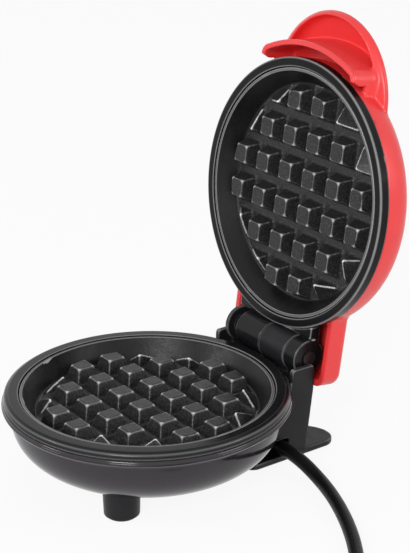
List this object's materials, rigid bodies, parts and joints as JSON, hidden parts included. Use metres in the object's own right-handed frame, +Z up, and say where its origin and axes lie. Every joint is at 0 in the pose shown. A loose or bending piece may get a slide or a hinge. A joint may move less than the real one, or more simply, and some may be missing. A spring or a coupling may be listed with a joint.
{
  "type": "mini waffle maker",
  "caption": "Small round waffle maker with its hinged red lid standing open, on a bowl-shaped base with feet, a rear stand and a mains cord.",
  "frame": {"origin": "on the surface it stands on, below the middle of the appliance's box with the lid open and without its cord", "axes": "+Z up, +X along the hinge pin to the user's right, +Y from the handle side towards the hinge; the open lid stands at the back"},
  "size_m": [0.3099, 0.2089, 0.1959],
  "materials": {
    "lid_plastic": "glossy moulded red",
    "lid_rim_plastic": "satin black",
    "bracket_plastic": "satin black",
    "bowl_plastic": "glossy charcoal",
    "rim_plastic": "satin black",
    "stand_plastic": "fine-grained dark grey",
    "foot_plastic": "satin dark grey",
    "plate_coating": "cast, with a dark satin non-stick coating",
    "element_steel": "dull, heat-stained",
    "shield_metal": "mill finish",
    "screw_steel": "zinc-plated",
    "pin_steel": "blackened on the visible end",
    "connector_plastic": "natural nylon",
    "wire_cover": "glass-braid sleeve",
    "cord_rubber": "smooth black",
    "pad_rubber": "soft black",
    "tie_plastic": "black band",
    "plug_plastic": "satin black",
    "blade_brass": "plain",
    "lens_clear": "clear amber",
    "lamp_glass": "clear"
  },
  "bodies": {
    "base": {"base_bowl": "bowl_plastic", "base_trim_ring": "rim_plastic", "lower_plate": "plate_coating", "lower_heating_element": "element_steel", "lower_heat_shield": "shield_metal", "thermostat": "element_steel", "thermal_fuse": "shield_metal", "terminal_block": "connector_plastic", "base_wiring": "wire_cover", "base_screws": "screw_steel", "rear_stand": "stand_plastic", "hinge_pin": "pin_steel", "hinge_pin_clip": "pin_steel", "strain_relief": "cord_rubber", "front_foot_left": "foot_plastic", "front_foot_right": "foot_plastic", "front_pad_left": "pad_rubber", "front_pad_right": "pad_rubber", "rear_pad_left": "pad_rubber", "rear_pad_right": "pad_rubber", "power_cord": "cord_rubber", "cord_coil": "cord_rubber", "cord_tail": "cord_rubber", "cord_tie": "tie_plastic", "plug_body": "plug_plastic", "plug_blades": "blade_brass"},
    "lid": {"lid_shell": "lid_plastic", "lid_trim_ring": "lid_rim_plastic", "lid_hinge_bracket": "bracket_plastic", "upper_plate": "plate_coating", "upper_heating_element": "element_steel", "upper_heat_shield": "shield_metal", "shield_screws": "screw_steel", "lid_screws": "screw_steel", "indicator_lens": "lens_clear", "indicator_lamp": "lamp_glass", "lid_wiring": "wire_cover"}
  },
  "joints": [
    {"name": "lid_hinge", "type": "hinge", "parent": "base", "child": "lid", "pos_m": [0, 0.04654, 0.04675], "axis": [1, 0, 0], "range_deg": [0, 98.9]}
  ]
}
